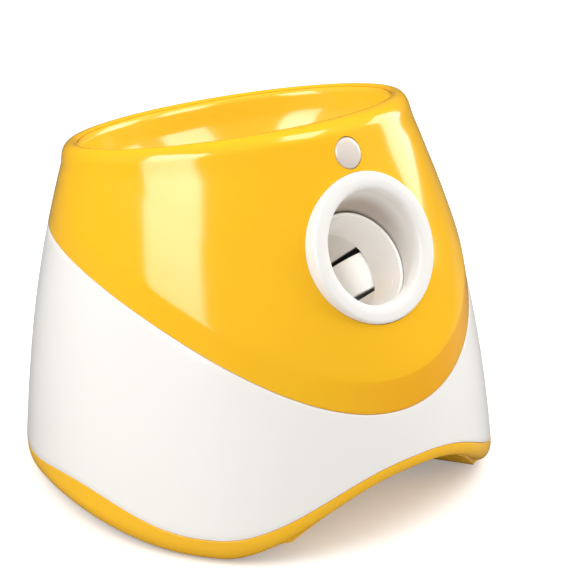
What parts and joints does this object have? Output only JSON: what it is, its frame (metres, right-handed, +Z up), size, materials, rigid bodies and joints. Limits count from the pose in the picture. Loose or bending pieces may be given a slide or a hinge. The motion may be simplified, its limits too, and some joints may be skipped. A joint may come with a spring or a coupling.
{
  "type": "automatic dog ball launcher",
  "caption": "Automatic ball launcher for dogs: yellow hopper bowl, white skirt and a round tilted port with a barrel between flywheels.",
  "frame": {"origin": "middle of the footprint's bounding box, on the ground under the rubber feet", "axes": "+Z up, -Y the way the launch port looks, +X to the machine's left hand when seen from the front (its own right)"},
  "size_m": [0.2794, 0.2926, 0.2292],
  "materials": {
    "yellow_plastic": "glossy injection-moulded plastic, softly polished",
    "white_plastic": "glossy white moulded plastic",
    "dark_plastic": "fine-textured black plastic",
    "tread_rubber": "smooth pale rubber tread",
    "rubber_dark": "matte black rubber",
    "steel": "bright machined steel",
    "motor_can": "rolled steel can",
    "nickel": "nickel-plated sheet",
    "button_plastic": "milky satin plastic",
    "circuit_board": "green solder mask",
    "cell_sleeve": "plain shrink sleeve"
  },
  "bodies": {
    "case": {"upper_shell": "yellow_plastic", "lower_shell": "white_plastic", "base_tray": "yellow_plastic", "hopper_bowl": "yellow_plastic", "port_bezel": "white_plastic", "launch_barrel": "white_plastic", "feed_tube": "white_plastic", "gate_solenoid": "motor_can", "wheel_guard_left": "dark_plastic", "wheel_guard_right": "dark_plastic", "motor_left": "motor_can", "motor_right": "motor_can", "ball_sensor_emitter": "dark_plastic", "ball_sensor_receiver": "dark_plastic", "button_switch": "circuit_board", "battery_box": "dark_plastic", "battery_contacts": "nickel", "control_board": "circuit_board", "board_parts": "dark_plastic", "board_screws": "steel", "dc_jack": "dark_plastic", "dc_jack_nut": "nickel", "motor_screws": "steel", "guard_screws": "steel", "deck_screws": "steel", "case_screws": "steel", "battery_1": "cell_sleeve", "battery_2": "cell_sleeve", "battery_3": "cell_sleeve", "battery_4": "cell_sleeve", "battery_5": "cell_sleeve", "battery_6": "cell_sleeve", "foot_front_left": "rubber_dark", "foot_front_right": "rubber_dark", "foot_back_left": "rubber_dark", "foot_back_right": "rubber_dark"},
    "flywheel_left": {"flywheel_left": "white_plastic", "tread_left": "tread_rubber", "shaft_left": "steel"},
    "flywheel_right": {"flywheel_right": "white_plastic", "tread_right": "tread_rubber", "shaft_right": "steel"},
    "gate": {"gate_pin": "steel"},
    "button": {"mode_button": "button_plastic"},
    "battery_door": {"battery_door": "yellow_plastic"}
  },
  "joints": [
    {"name": "flywheel_left_spin", "type": "hinge", "parent": "case", "child": "flywheel_left", "pos_m": [-0.054, -0.05776, 0.12245], "axis": [0, 0.6115, 0.7912], "continuous": true},
    {"name": "flywheel_right_spin", "type": "hinge", "parent": "case", "child": "flywheel_right", "pos_m": [0.054, -0.05776, 0.12245], "axis": [0, 0.6115, 0.7912], "continuous": true},
    {"name": "gate_slide", "type": "slide", "parent": "case", "child": "gate", "axis": [0, 0.7912, -0.6115], "range_m": [0, 0.02], "stiffness_N_per_m": 60, "springref_m": -0.01},
    {"name": "button_press", "type": "slide", "parent": "case", "child": "button", "axis": [0, 0.9063, -0.4226], "range_m": [0, 0.0012], "stiffness_N_per_m": 800, "springref_m": -0.0006},
    {"name": "battery_door_slide", "type": "slide", "parent": "case", "child": "battery_door", "axis": [0, -1, 0], "range_m": [0, 0.09]}
  ]
}
